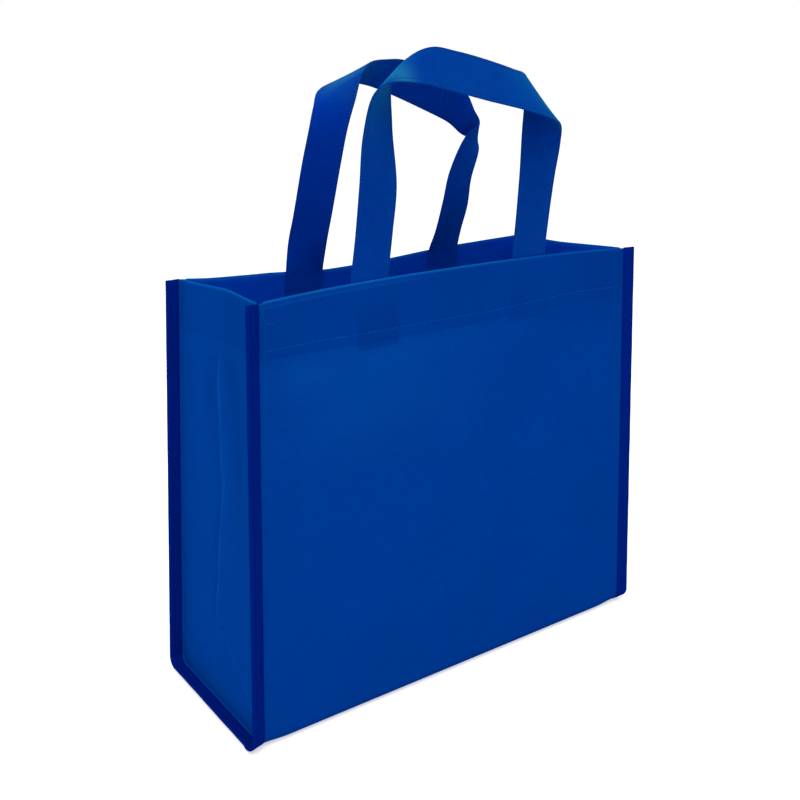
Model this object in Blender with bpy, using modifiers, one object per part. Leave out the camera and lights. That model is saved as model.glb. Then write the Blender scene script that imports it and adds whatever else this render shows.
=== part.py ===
"""Non-woven shopping bag with two flat strap handles.

One long cloth runs down the front, under the bottom and up the back. A side
cloth closes each end. Their edges meet in seam allowances that stick out to the
left and right, and a folded tape covers each pair of them. The mouth has a
folded hem, and a flat strap is sewn inside it at the front and at the back.

The bag stands on z = 0 with its front towards -Y. Lengths are in metres.
"""

import math

import bmesh
import bpy
import numpy as np

# Bag, measured from seam to seam.
BAG_HEIGHT = 0.315
MOUTH_WIDTH = 0.338
MOUTH_DEPTH = 0.126
BASE_WIDTH = 0.352
BASE_DEPTH = 0.134
BOTTOM_CORNER_RADIUS = 0.009

# Cloth, tape and the air between two layers.
FABRIC_THICKNESS = 0.0005
TAPE_THICKNESS = 0.0004
LAYER_GAP = 0.0003
HEM_DEPTH = 0.037
HEM_END_GAP = 0.004
SEAM_ALLOWANCE = 0.0113
SIDE_TURN_RADIUS = 0.0012
TAPE_START = 0.0006
TAPE_GAP = 0.0004

# How the bound seams lean away from the front, the bottom and the back.
FRONT_LEFT_SEAM_TURN = math.radians(22)
FRONT_RIGHT_SEAM_TURN = math.radians(10)
BOTTOM_SEAM_TURN = math.radians(-10)
BACK_SEAM_TURN = math.radians(3)
SEAM_LIFT = 0.0014
SEAM_LIFT_REACH = 0.022

# How the soft cloth hangs.
FRONT_BOW = 0.012
FRONT_CREST = 0.0018
BACK_BOW = 0.013
BACK_SAG = 0.004
RIGHT_RISE = 0.006
BACK_DROP = 0.003
BACK_TAPER = 0.005
SIDE_VALLEY = 0.007
SIDE_CREASE_HEIGHT = 0.060
SIDE_CREASE_DEPTH = 0.0035

# Straps.
STRAP_WIDTH = 0.033
STRAP_THICKNESS = 0.0012
STRAP_TAIL = 0.040
FRONT_SPACING = 0.150
BACK_SPACING = 0.140
FRONT_RISE = 0.156
BACK_RISE = 0.152

# Each row is one crossing of the strap, from the left foot to the right one. The
# first three numbers place its middle: across in half spacings, out from the
# mouth in metres, and up in rises. The next three are the direction from the
# edge that ends up low to the edge that ends up high, and the last is how much
# longer than the strap's width a slanting crossing is.
FRONT_CROSSINGS = [
    (-0.98, 0.0005, 0.19, 1.00, 0.06, 0.00, 1.00),
    (-0.95, 0.0035, 0.41, 1.00, 0.05, 0.00, 1.00),
    (-0.95, 0.0055, 0.655, 0.93, 0.31, 0.19, 1.00),
    (-0.96, 0.0140, 0.845, 0.79, 0.49, 0.37, 1.05),
    (-0.85, 0.0215, 0.910, 0.78, 0.42, 0.48, 1.18),
    (-0.64, 0.0250, 0.930, 0.68, 0.42, 0.60, 1.20),
    (-0.29, 0.0255, 0.905, 0.47, 0.47, 0.75, 1.10),
    (0.09, 0.0250, 0.872, 0.15, 0.49, 0.86, 1.02),
    (0.50, 0.0255, 0.832, -0.06, 0.50, 0.86, 1.02),
    (0.77, 0.0220, 0.790, -0.42, 0.50, 0.76, 1.08),
    (0.935, 0.0150, 0.720, -0.67, 0.50, 0.55, 1.10),
    (1.00, 0.0100, 0.590, -0.95, 0.26, 0.20, 1.03),
    (1.00, 0.0065, 0.420, -0.99, 0.12, 0.06, 1.00),
    (0.995, 0.0030, 0.200, -1.00, 0.08, 0.02, 1.00),
]
BACK_CROSSINGS = [
    (-0.985, -0.0035, 0.15, 1.00, 0.00, 0.02, 1.00),
    (-0.945, -0.0075, 0.285, 1.00, 0.00, 0.03, 1.00),
    (-0.875, -0.0155, 0.555, 1.00, -0.03, 0.02, 1.00),
    (-0.835, -0.0200, 0.710, 0.98, -0.10, 0.10, 1.02),
    (-0.765, -0.0200, 0.825, 0.93, -0.28, 0.18, 1.06),
    (-0.655, -0.0170, 0.915, 0.82, -0.48, 0.26, 1.08),
    (-0.43, -0.0140, 0.985, 0.60, -0.70, 0.34, 1.02),
    (-0.14, -0.0125, 1.000, 0.24, -0.82, 0.52, 1.00),
    (0.15, -0.0120, 0.960, -0.03, -0.78, 0.62, 1.00),
    (0.66, -0.0110, 0.860, -0.13, -0.68, 0.70, 1.00),
    (0.96, -0.0110, 0.785, -0.20, -0.58, 0.76, 1.00),
    (1.15, -0.0130, 0.725, -0.34, -0.50, 0.70, 1.00),
    (1.185, -0.0140, 0.640, -0.82, -0.30, 0.40, 1.00),
    (1.10, -0.0095, 0.440, -0.96, -0.20, 0.16, 1.00),
    (0.985, -0.0025, 0.130, -0.99, -0.10, 0.04, 1.00),
]

LAYER_STEP = FABRIC_THICKNESS + LAYER_GAP
FRONT = -1
BACK = 1
LEFT = -1
RIGHT = 1


def remove_everything():
    for thing in list(bpy.data.objects):
        bpy.data.objects.remove(thing, do_unlink=True)


def make_collection(name):
    collection = bpy.data.collections.new(name)
    bpy.context.scene.collection.children.link(collection)
    return collection


def make_finish(name, colour, roughness):
    material = bpy.data.materials.new(name)
    material.use_nodes = True
    shader = material.node_tree.nodes["Principled BSDF"]
    shader.inputs["Base Color"].default_value = (*colour, 1)
    shader.inputs["Roughness"].default_value = roughness
    return material


def half_width(z):
    share = min(1, max(0, z / BAG_HEIGHT))
    return (BASE_WIDTH + (MOUTH_WIDTH - BASE_WIDTH) * share) / 2


def half_depth(z):
    share = min(1, max(0, z / BAG_HEIGHT))
    return (BASE_DEPTH + (MOUTH_DEPTH - BASE_DEPTH) * share) / 2


def ease(share):
    share = min(1, max(0, share))
    return share * share * (3 - 2 * share)


def relax(point):
    """Moves a point of the plain box bag to where the soft bag has it."""
    x, y, z = point
    up = min(1, max(0, z / BAG_HEIGHT))
    across = min(1, abs(x) / half_width(z))
    lift = ease(1 + (abs(x) - half_width(z)) / SEAM_LIFT_REACH)
    x *= 1 - up * BACK_TAPER / MOUTH_WIDTH * (0.5 + y / MOUTH_DEPTH)
    near_front = ease(-2.5 * y / BASE_DEPTH)
    near_back = ease(2.5 * y / BASE_DEPTH)
    middle = 1 - across**3
    y += near_front * FRONT_BOW * middle * up**1.5
    y -= near_back * BACK_BOW * middle * up**1.5
    z += SEAM_LIFT * lift * (1 - up)
    z += up * (RIGHT_RISE * x / MOUTH_WIDTH - BACK_DROP * point[1] / MOUTH_DEPTH)
    z += up**3 * near_front * FRONT_CREST * (1 - across**2)
    z -= up**3 * near_back * BACK_SAG * (1 - across**2)
    return x, y, z


def wall_heights():
    """Heights of the rows on an upright wall, from the mouth down to the corner."""
    top = BAG_HEIGHT - LAYER_STEP / 2
    hem = BAG_HEIGHT - HEM_DEPTH
    in_hem = [top, top - 0.2 * HEM_DEPTH, (top + hem) / 2]
    below = list(np.linspace(hem, BOTTOM_CORNER_RADIUS + FABRIC_THICKNESS / 2, 8))
    return in_hem + below


def front_turn(side):
    return FRONT_LEFT_SEAM_TURN if side == LEFT else FRONT_RIGHT_SEAM_TURN


def seam_stations(side):
    """Stations of a seam: (y, z, outward y, outward z, turn of the allowances)."""
    start = front_turn(side)
    radius = BOTTOM_CORNER_RADIUS
    floor = FABRIC_THICKNESS / 2
    front = [(-half_depth(z), z, -1, 0, start) for z in wall_heights()]
    corner = []
    for share in np.linspace(0, 1, 7)[1:-1]:
        angle = share * math.pi / 2
        y = -half_depth(0) + radius * (1 - math.cos(angle))
        z = floor + radius * (1 - math.sin(angle))
        turn = start + (BOTTOM_SEAM_TURN - start) * share
        corner.append((y, z, -math.cos(angle), -math.sin(angle), turn))
    reach = half_depth(0) - radius
    bottom = [(y, floor, 0, -1, BOTTOM_SEAM_TURN) for y in np.linspace(-reach, reach, 5)]
    back = []
    for y, z, out_y, out_z, turn in reversed(front + corner):
        share = (turn - BOTTOM_SEAM_TURN) / (start - BOTTOM_SEAM_TURN)
        turn = BOTTOM_SEAM_TURN + (BACK_SEAM_TURN - BOTTOM_SEAM_TURN) * share
        back.append((-y, z, -out_y, out_z, turn))
    return front + corner + bottom + back


def across_seam(station, side, out, along):
    """A point of a seam's section: out from the seam, and along the outward normal."""
    y, z, out_y, out_z, _ = station
    return side * (half_width(z) + out), y + along * out_y, z + along * out_z


def on_allowance(station, side, out, lift):
    """A point of a seam's section, measured on the turned allowances."""
    turn = station[4]
    sideways = out * math.cos(turn) - lift * math.sin(turn)
    outward = out * math.sin(turn) + lift * math.cos(turn)
    return across_seam(station, side, sideways, outward)


def grid_of(rows, columns, place, keep):
    """An open sheet from a grid, each crossing placed by its row and column."""
    mesh = bmesh.new()
    bmesh.ops.create_grid(mesh, x_segments=columns - 1, y_segments=rows - 1, size=1)
    places = {}
    for vert in mesh.verts:
        column = round((vert.co.x + 1) / 2 * (columns - 1))
        row = round((vert.co.y + 1) / 2 * (rows - 1))
        places[vert] = (row, column)
    unwanted = []
    for face in mesh.faces:
        row = min(places[vert][0] for vert in face.verts)
        column = min(places[vert][1] for vert in face.verts)
        if not keep(row, column):
            unwanted.append(face)
    for vert, (row, column) in places.items():
        vert.co = place(row, column)
    bmesh.ops.delete(mesh, geom=unwanted, context="FACES")
    bmesh.ops.remove_doubles(mesh, verts=mesh.verts, dist=1e-5)
    return mesh


def make_cloth(name, sheet, thickness, finish, collection):
    """Turns an open sheet into one closed body of the given thickness."""
    bmesh.ops.recalc_face_normals(sheet, faces=sheet.faces)
    data = bpy.data.meshes.new(name)
    sheet.to_mesh(data)
    sheet.free()
    data.materials.append(finish)
    cloth = bpy.data.objects.new(name, data)
    collection.objects.link(cloth)
    solidify = cloth.modifiers.new("thickness", "SOLIDIFY")
    solidify.thickness = thickness
    solidify.offset = 0
    solidify.use_even_offset = True
    return cloth


def hem_rows():
    """The hem's rows from its raw edge to the fold, as (height, inward share)."""
    top = BAG_HEIGHT - LAYER_STEP / 2
    rows = [(BAG_HEIGHT - HEM_DEPTH, 1), ((top + BAG_HEIGHT - HEM_DEPTH) / 2, 1)]
    rows += [(top - 0.2 * HEM_DEPTH, 1), (top, 1)]
    for angle in (math.radians(120), math.radians(60)):
        height = top + LAYER_STEP / 2 * math.sin(angle)
        rows.append((height, 0.5 - 0.5 * math.cos(angle)))
    return rows


def row_station(row, stations, hem):
    """The wall station of a row and how far its cloth lies inward."""
    last = 2 * len(hem) + len(stations) - 1
    if row < len(hem):
        z, inward = hem[row]
        return (-half_depth(z), z) + stations[0][2:], inward * LAYER_STEP
    if row > last - len(hem):
        z, inward = hem[last - row]
        return (half_depth(z), z) + stations[-1][2:], inward * LAYER_STEP
    return stations[row - len(hem)], 0


def body_outs():
    """Places across the body cloth from edge to edge, as (share, distance out)."""
    wide = list(np.linspace(-1, 1, 17))
    left = [(-1, SEAM_ALLOWANCE), (-1, SEAM_ALLOWANCE / 2), (-1, 0)]
    inner = [(-1, -HEM_END_GAP)]
    middle = [(share, None) for share in wide[1:-1]]
    right = [(1, out) for _, out in reversed(left + inner)]
    return left + inner + middle + right


def make_body_panel(finish, collection):
    stations = {side: seam_stations(side) for side in (LEFT, RIGHT)}
    hem = hem_rows()
    outs = body_outs()
    rows = 2 * len(hem) + len(stations[LEFT])
    allowance_columns = 3

    def place(row, column):
        share, out = outs[column]
        side = LEFT if share < 0 else RIGHT
        station, inward = row_station(row, stations[side], hem)
        if out is not None and out > 0:
            return relax(on_allowance(station, side, out, 0))
        if out is None:
            out = (abs(share) - 1) * half_width(station[1])
        return relax(across_seam(station, side, out, -inward))

    def keep(row, column):
        in_hem = row < len(hem) or row >= rows - len(hem) - 1
        beside = column < allowance_columns or column >= len(outs) - 1 - allowance_columns
        return not (in_hem and beside)

    sheet = grid_of(rows, len(outs), place, keep)
    return make_cloth("body_panel", sheet, FABRIC_THICKNESS, finish, collection)


def side_section(turn):
    """The side cloth's way from its raw edge round the turn, as (out, inward)."""
    radius = SIDE_TURN_RADIUS
    start = radius + FABRIC_THICKNESS / 2 - (LAYER_STEP + radius) * math.sin(turn)
    start /= math.cos(turn)
    along = (math.cos(turn), -math.sin(turn))
    across = (math.sin(turn), math.cos(turn))
    way = []
    for reach in (SEAM_ALLOWANCE, (SEAM_ALLOWANCE + start) / 2):
        out = reach * along[0] + LAYER_STEP * across[0]
        inward = reach * along[1] + LAYER_STEP * across[1]
        way.append((out, inward))
    centre_out = start * along[0] + (LAYER_STEP + radius) * across[0]
    centre_in = start * along[1] + (LAYER_STEP + radius) * across[1]
    for share in (0, 1 / 3, 2 / 3, 1):
        angle = share * (math.pi / 2 - turn)
        back, down = math.cos(angle), math.sin(angle)
        out = centre_out - radius * (across[0] * back + along[0] * down)
        inward = centre_in - radius * (across[1] * back + along[1] * down)
        way.append((out, inward))
    return way


def make_side_panel(side, name, finish, collection):
    stations = seam_stations(side)
    hem = hem_rows()
    shares = (0.06, 0.3, 0.55, 0.78, 1)
    turn_columns = len(side_section(0))
    rows = len(hem) + len(stations) + len(hem)
    corner_height = wall_heights()[-1]
    crease = SIDE_CREASE_HEIGHT

    def spine(z):
        """The middle crease beside a wall station at this height."""
        share = max(0, (z - corner_height) / (BAG_HEIGHT - corner_height))
        height = crease + (BAG_HEIGHT - crease) * share
        depth = SIDE_CREASE_DEPTH + (SIDE_VALLEY - SIDE_CREASE_DEPTH) * ease(1.4 * share)
        return height, depth

    def place(row, column):
        station, inner = row_station(row, stations, hem)
        way = side_section(station[4])
        if column < turn_columns:
            out, inward = way[column]
            return relax(across_seam(station, side, out, -inward))
        out, inward = way[-1]
        edge = across_seam(station, side, out, -inward)
        height, valley = spine(station[1])
        share = shares[column - turn_columns]
        bend = ease(share) * 0.35 + share * 0.65
        y = edge[1] * (1 - share)
        z = edge[2] + (height - edge[2]) * share
        x = half_width(z) + out - inner - valley * bend
        return relax((side * x, y, z))

    def keep(row, column):
        in_hem = row < len(hem) or row >= rows - len(hem) - 1
        return not (in_hem and column < turn_columns)

    sheet = grid_of(rows, turn_columns + len(shares), place, keep)
    return make_cloth(name, sheet, FABRIC_THICKNESS, finish, collection)


def tape_section(turn):
    """The tape's way round both allowances, as (out, lift)."""
    space = FABRIC_THICKNESS / 2 + TAPE_GAP + TAPE_THICKNESS / 2
    above = space
    below = -LAYER_STEP - space
    edge = SEAM_ALLOWANCE + TAPE_GAP + TAPE_THICKNESS / 2
    start = side_section(turn)[2][0] + SIDE_TURN_RADIUS / 2 + LAYER_GAP
    bevel = space / 2
    way = [(TAPE_START, above), (SEAM_ALLOWANCE / 2, above)]
    way += [(edge - bevel, above), (edge, above - bevel)]
    way += [(edge, below + bevel), (edge - bevel, below)]
    way += [(SEAM_ALLOWANCE / 2, below), (start, below)]
    return way


def make_binding(side, name, finish, collection):
    stations = seam_stations(side)
    top = (stations[0][0], BAG_HEIGHT) + stations[0][2:]
    end = (stations[-1][0], BAG_HEIGHT) + stations[-1][2:]
    stations = [top] + stations[1:-1] + [end]

    def place(row, column):
        out, lift = tape_section(stations[row][4])[column]
        return relax(on_allowance(stations[row], side, out, lift))

    columns = len(tape_section(0))
    sheet = grid_of(len(stations), columns, place, lambda row, column: True)
    return make_cloth(name, sheet, TAPE_THICKNESS, finish, collection)


def smooth_through(points, steps):
    """Points on a smooth curve through the given points."""
    given = np.array(points, float)
    lengths = np.linalg.norm(np.diff(given, axis=0), axis=1) ** 0.5
    knots = np.concatenate([[0], np.cumsum(lengths)])
    slopes = np.gradient(given, knots, axis=0)
    made = []
    for i in range(len(given) - 1):
        span = knots[i + 1] - knots[i]
        for k in range(steps):
            t = k / steps
            a = (1 + 2 * t) * (1 - t) ** 2 * given[i] + t * (1 - t) ** 2 * span * slopes[i]
            b = t * t * (3 - 2 * t) * given[i + 1] - t * t * (1 - t) * span * slopes[i + 1]
            made.append(a + b)
    made.append(given[-1])
    return made


def foot(face, x, z):
    """Where the strap's middle layer lies on the inner face of the hem."""
    inward = LAYER_STEP + FABRIC_THICKNESS / 2 + LAYER_GAP + STRAP_THICKNESS / 2
    return relax((x, face * (half_depth(z) - inward), z))


def make_handle(face, name, spacing, rise, crossings, finish, collection):
    depths = (STRAP_TAIL, STRAP_TAIL / 2, STRAP_TAIL / 8, 0)
    heights = [BAG_HEIGHT - depth for depth in depths]
    half = STRAP_WIDTH / 2
    left_feet = []
    right_feet = []
    for z in heights:
        x = spacing / 2
        left_feet.append((foot(face, -x - half, z), foot(face, -x + half, z)))
        right_feet.append((foot(face, x + half, z), foot(face, x - half, z)))
    mouth = np.array(foot(face, 0, BAG_HEIGHT))
    mouth[1] = foot(face, spacing / 2, BAG_HEIGHT)[1]
    low = []
    high = []
    for along, out, up, *across, stretch in crossings:
        middle = mouth + (along * spacing / 2, face * out, up * rise)
        reach = np.array(across) / np.linalg.norm(across) * half * stretch
        low.append(middle - reach)
        high.append(middle + reach)
    low = [pair[0] for pair in left_feet] + low + [pair[0] for pair in right_feet[::-1]]
    high = [pair[1] for pair in left_feet] + high + [pair[1] for pair in right_feet[::-1]]
    low = smooth_through(low, 3)
    high = smooth_through(high, 3)

    def place(row, column):
        share = column / 4
        return low[row] * (1 - share) + high[row] * share

    sheet = grid_of(len(low), 5, place, lambda row, column: True)
    return make_cloth(name, sheet, STRAP_THICKNESS, finish, collection)


def build():
    remove_everything()
    bag = make_collection("non_woven_bag")
    body = make_finish("body_fabric", (0.005, 0.042, 0.280), 0.8)
    sides = make_finish("side_fabric", (0.005, 0.042, 0.280), 0.8)
    tape = make_finish("binding_tape", (0.002, 0.010, 0.160), 0.75)
    strap = make_finish("strap_fabric", (0.005, 0.042, 0.260), 0.7)
    make_body_panel(body, bag)
    make_side_panel(LEFT, "side_panel_left", sides, bag)
    make_side_panel(RIGHT, "side_panel_right", sides, bag)
    make_binding(LEFT, "binding_left", tape, bag)
    make_binding(RIGHT, "binding_right", tape, bag)
    make_handle(FRONT, "handle_front", FRONT_SPACING, FRONT_RISE, FRONT_CROSSINGS, strap, bag)
    make_handle(BACK, "handle_back", BACK_SPACING, BACK_RISE, BACK_CROSSINGS, strap, bag)


build()
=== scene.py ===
"""Blue non-woven shopping bag with bound seams, a sewn hem and two soft strap handles."""

import math

import bmesh
import bpy
import numpy as np
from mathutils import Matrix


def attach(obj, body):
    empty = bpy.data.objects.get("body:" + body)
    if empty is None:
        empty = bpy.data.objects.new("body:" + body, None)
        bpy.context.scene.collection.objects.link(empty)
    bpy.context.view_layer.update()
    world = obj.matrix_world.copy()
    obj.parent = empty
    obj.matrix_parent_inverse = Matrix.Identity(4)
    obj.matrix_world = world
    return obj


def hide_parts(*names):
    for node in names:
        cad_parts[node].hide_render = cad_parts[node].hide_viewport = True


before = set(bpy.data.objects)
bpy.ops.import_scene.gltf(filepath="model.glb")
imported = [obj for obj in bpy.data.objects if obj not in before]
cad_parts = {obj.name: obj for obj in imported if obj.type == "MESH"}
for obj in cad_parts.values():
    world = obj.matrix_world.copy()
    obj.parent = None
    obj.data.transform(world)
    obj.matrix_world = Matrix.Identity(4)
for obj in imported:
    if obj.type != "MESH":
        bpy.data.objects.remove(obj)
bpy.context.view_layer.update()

# Bag sizes in metres, measured from seam to seam.
BAG_HEIGHT = 0.315
MOUTH_WIDTH = 0.338
MOUTH_DEPTH = 0.126
BASE_WIDTH = 0.352
BASE_DEPTH = 0.134
BOTTOM_CORNER_RADIUS = 0.009

# Cloth, tape and the air between two layers.
FABRIC_THICKNESS = 0.0005
TAPE_THICKNESS = 0.0004
LAYER_GAP = 0.0003
LAYER_STEP = FABRIC_THICKNESS + LAYER_GAP
HEM_DEPTH = 0.037
HEM_STITCH_DEPTH = 0.0315
HEM_END_GAP = 0.004
# How much deeper the front's hem is folded than that, along x: to its stitches and its edge.
FRONT_HEM_AT = (-0.169, -0.12, -0.08, -0.04, 0.0, 0.04, 0.08, 0.12, 0.169)
FRONT_STITCH_SAG = (0.0012, 0.0024, 0.0039, 0.0047, 0.0049, 0.0048, 0.0028, 0.0005, 0.0)
FRONT_EDGE_SAG = (0.0014, 0.0033, 0.0052, 0.0061, 0.0065, 0.0060, 0.0046, 0.0032, 0.0026)
SEAM_ALLOWANCE = 0.0113
SIDE_TURN_RADIUS = 0.0012
TAPE_START = 0.0006
TAPE_GAP = 0.0001
TAPE_STITCH = 0.0066
CORNER_HEIGHT = BOTTOM_CORNER_RADIUS + FABRIC_THICKNESS / 2
SIDE_HEM_INSET = 0.0010

# Spacing of the mesh rows: down the hem, down the wall, and along the bottom.
FRONT_ROWS = (0.0012, 0.0026)
BACK_ROWS = (0.0019, 0.0042)
SIDE_ROWS = (0.0018, 0.0030)
TAPE_ROWS = (0.0030, 0.0034)
BODY_BOTTOM_STEP = 0.006
SIDE_BOTTOM_STEP = 0.004
TAPE_BOTTOM_STEP = 0.0034
BODY_COLUMNS = 141

# How the bound seams lean away from the front, the bottom and the back.
FRONT_LEFT_SEAM_TURN = math.radians(24)
FRONT_RIGHT_SEAM_TURN = math.radians(10)
BOTTOM_SEAM_TURN = math.radians(-10)
BACK_SEAM_TURN = math.radians(3)
SEAM_LIFT = 0.0014
SEAM_LIFT_REACH = 0.022

# How the cloth stands off its smooth shape: long waves, the front's belly under the
# hem and its tuck beside the left seam, the hem's second layer, the sinking along
# its stitches and under its folded edge, and the patches behind the strap tails.
WALL_WAVES = 0.0011
FRONT_BELLY = 0.0030
FRONT_TUCK = 0.0020
HEM_STAND_OFF = 0.00028
STITCH_SINK = 0.00030
FOLD_SINK = 0.00016
PATCH_STAND_OFF = 0.00045

# The same for a side cloth: its middle fold, the hollow round it and the forked folds.
SIDE_WAVES = 0.0008
MIDDLE_FOLD = 0.0012
ARCH_HOLLOW = 0.0040
FORK_FOLD = 0.0009
SIDE_HEM_STEP = 0.00025

# How the soft cloth hangs.
FRONT_BOW = 0.012
FRONT_CREST = 0.0018
BACK_BOW = 0.013
BACK_SAG = 0.004
BACK_EDGE_TILT = 0.0052
# How far the back's top edge stands off that even line, along x.
BACK_EDGE_AT = (-0.176, -0.150, -0.125, -0.100, -0.075, -0.050, 0.0, 0.050, 0.090, 0.140, 0.176)
BACK_EDGE_RISE = (0.0, 0.0006, 0.0018, 0.0024, 0.0016, 0.0, 0.0002, 0.0016, 0.0016, 0.0006, 0.0)
RIGHT_RISE = 0.006
BACK_DROP = 0.003
BACK_TAPER = 0.005
SIDE_VALLEY = 0.007
SIDE_CREASE_HEIGHT = 0.060
SIDE_CREASE_DEPTH = 0.0035

# Straps.
STRAP_WIDTH = 0.033
STRAP_THICKNESS = 0.0012
STRAP_TAIL = 0.040
STRAP_STITCH = 0.0028
PATCH_WIDTH = 0.0365
PATCH_SHIFT = 0.0035
PATCH_DEPTH = 0.0466
FRONT_SPACING = 0.150
BACK_SPACING = 0.140
FRONT_RISE = 0.156
BACK_RISE = 0.152

# Each row is one crossing of a strap, from the left foot to the right one. The
# first three numbers place its middle: across in half spacings, out from the
# mouth in metres, and up in rises. The next three are the direction from the
# edge that ends up low to the edge that ends up high, and the last is how much
# longer than the strap's width a slanting crossing is.
FRONT_CROSSINGS = [
    (-0.951, 0.0005, 0.19, 1.00, 0.03, -0.03, 0.97),
    (-0.930, 0.0035, 0.41, 1.00, 0.05, -0.05, 0.98),
    (-0.95, 0.0055, 0.655, 0.93, 0.31, 0.19, 1.00),
    (-0.96, 0.0140, 0.845, 0.79, 0.49, 0.37, 1.05),
    (-0.85, 0.0215, 0.910, 0.78, 0.42, 0.48, 1.18),
    (-0.64, 0.0250, 0.930, 0.68, 0.42, 0.60, 1.20),
    (-0.29, 0.0255, 0.905, 0.47, 0.47, 0.75, 1.10),
    (0.09, 0.0250, 0.870, 0.15, 0.49, 0.86, 1.06),
    (0.522, 0.0255, 0.826, 0.05, 0.57, 0.82, 1.11),
    (0.826, 0.0220, 0.790, -0.14, 0.63, 0.76, 1.29),
    (0.962, 0.0150, 0.739, -0.41, 0.61, 0.68, 1.17),
    (1.01, 0.0100, 0.595, -0.93, 0.19, 0.31, 1.09),
    (1.014, 0.0065, 0.420, -0.99, 0.05, 0.13, 1.07),
    (1.006, 0.0030, 0.200, -1.00, 0.02, 0.06, 1.03),
]
BACK_CROSSINGS = [
    (-0.965, -0.0035, 0.15, 0.97, -0.24, 0.03, 0.96),
    (-0.930, -0.0075, 0.285, 0.98, -0.20, 0.00, 0.96),
    (-0.871, -0.0155, 0.555, 0.99, -0.15, -0.03, 0.97),
    (-0.826, -0.0200, 0.711, 0.99, -0.14, 0.05, 0.98),
    (-0.745, -0.0200, 0.836, 0.95, -0.26, 0.15, 1.02),
    (-0.640, -0.0170, 0.940, 0.74, -0.57, 0.35, 1.10),
    (-0.430, -0.0140, 0.990, 0.46, -0.76, 0.46, 0.95),
    (-0.126, -0.0125, 0.993, 0.20, -0.77, 0.60, 0.95),
    (0.152, -0.0120, 0.971, 0.06, -0.65, 0.76, 1.00),
    (0.688, -0.0110, 0.883, 0.05, -0.61, 0.79, 1.00),
    (1.048, -0.0110, 0.811, 0.03, -0.65, 0.76, 1.00),
    (1.190, -0.0130, 0.733, -0.19, -0.75, 0.63, 0.98),
    (1.342, -0.0135, 0.676, -0.52, -0.73, 0.45, 1.10),
    (1.255, -0.0140, 0.620, -0.81, -0.47, 0.33, 1.04),
    (1.130, -0.0095, 0.439, -0.92, -0.29, 0.24, 1.03),
    (1.097, -0.0060, 0.285, -0.95, -0.24, 0.16, 1.07),
    (1.030, -0.0025, 0.130, -0.97, -0.20, 0.08, 1.02),
]

# Where each strap's upper left fold gets a painted highlight: across, and its half width.
FRONT_STRAP_FOLD_HIGHLIGHT = (-0.068, 0.009)
BACK_STRAP_FOLD_HIGHLIGHT = (-0.041, 0.018)

# Sewing: stitch lengths and thread radii. The hem's loose thread end is given as
# places across the front and heights.
STITCH = 0.0027
STRAP_STITCH_LENGTH = 0.0030
THREAD_RADIUS = 0.00022
HEM_THREAD_RADIUS = 0.00018
LOOSE_THREAD_ACROSS = (-0.1668, -0.1662, -0.1643, -0.1612, -0.1578)
LOOSE_THREAD_UP = (0.3105, 0.3062, 0.3022, 0.2997, 0.2991)
LOOSE_THREAD_LIFT = 0.0006
LOOSE_THREAD_STEP = 0.0012
LOOSE_THREAD_RADIUS = 0.00020

# The cloth's pattern. The real pressed points are about 1 mm apart, which is too fine
# to show, so they are drawn coarser, 2.1 mm apart. The real fibres are 0.02 mm thick
# and are drawn coarser too, as clumps of 1.1 mm, in clouds of 8 mm and patches of
# 62 mm. A thread's twist is 0.7 mm long.
EMBOSS_PITCH = 0.0021
EMBOSS_SQUASH = 0.93
EMBOSS_TURN = math.radians(42)
EMBOSS_HEIGHT = 0.00022
FIBRE_CLUMP = 1 / 900
FIBRE_CLOUD = 1 / 120
FIBRE_PATCH = 1 / 16
THREAD_TWIST = 1 / 1500

# The studio and the camera.
WHITE = (1, 1, 1, 1)
AIR_LIGHT = 0.62
FLOOR_GLOW = 0.52
FLOOR_REACH = 40
FLOOR_LEVEL = -0.0002
LAMP_PLACE = (-0.75, -0.95, 2.1)
LAMP_AIM = (0, 0, 0.2)
LAMP_SIZE = 1.8
LAMP_WATTS = 30
LENS = 45.27
LENS_SHIFT = (0.0011, -0.125)
CAMERA_PLACE = (-0.462, -0.623, 0.4435)
CAMERA_TILT = math.radians(78.47)
CAMERA_HEADING = math.radians(-35.76)

FRONT = -1
BACK = 1
LEFT = -1
RIGHT = 1


# How the cloth lies


def half_width(z):
    """Half of the bag's width from seam to seam at a height."""
    return (BASE_WIDTH + (MOUTH_WIDTH - BASE_WIDTH) * np.clip(z / BAG_HEIGHT, 0, 1)) / 2


def half_depth(z):
    """Half of the bag's depth from seam to seam at a height."""
    return (BASE_DEPTH + (MOUTH_DEPTH - BASE_DEPTH) * np.clip(z / BAG_HEIGHT, 0, 1)) / 2


def ease(share):
    """A smooth step from 0 to 1."""
    share = np.clip(share, 0, 1)
    return share * share * (3 - 2 * share)


def bump_line(distance, width):
    """A soft ridge's section: 1 on its line, gone about two widths away."""
    return np.exp(-((distance / width) ** 2))


def soft_spot(a, middle_a, width_a, b, middle_b, width_b):
    """A soft round swelling: 1 in its middle, gone about two widths away."""
    return bump_line(a - middle_a, width_a) * bump_line(b - middle_b, width_b)


def above(depth, drop, blur=0.0012):
    """1 above an edge that lies at a depth below the mouth, 0 under it."""
    return ease((depth + blur / 2 - drop) / blur)


def gentle_waves(a, b, seed, longest, count):
    """A soft undulation between about -1 and 1, from a few long seeded waves."""
    dice = np.random.default_rng(seed)
    total = 0
    for _ in range(count):
        heading = dice.uniform(0, math.pi)
        length = longest * dice.uniform(0.35, 1)
        shift = dice.uniform(0, 2 * math.pi)
        along = a * math.cos(heading) + b * math.sin(heading)
        total = total + np.sin(2 * math.pi * along / length + shift)
    return total / math.sqrt(count) / 1.4


def strap_tails(face, x):
    """1 where a strap's tail and the patch behind it lie behind the hem, 0 elsewhere."""
    spacing = FRONT_SPACING if face == FRONT else BACK_SPACING
    beside = np.abs(np.abs(x) - spacing / 2 + PATCH_SHIFT) - PATCH_WIDTH / 2
    return ease(0.5 - beside / 0.0016)


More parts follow.
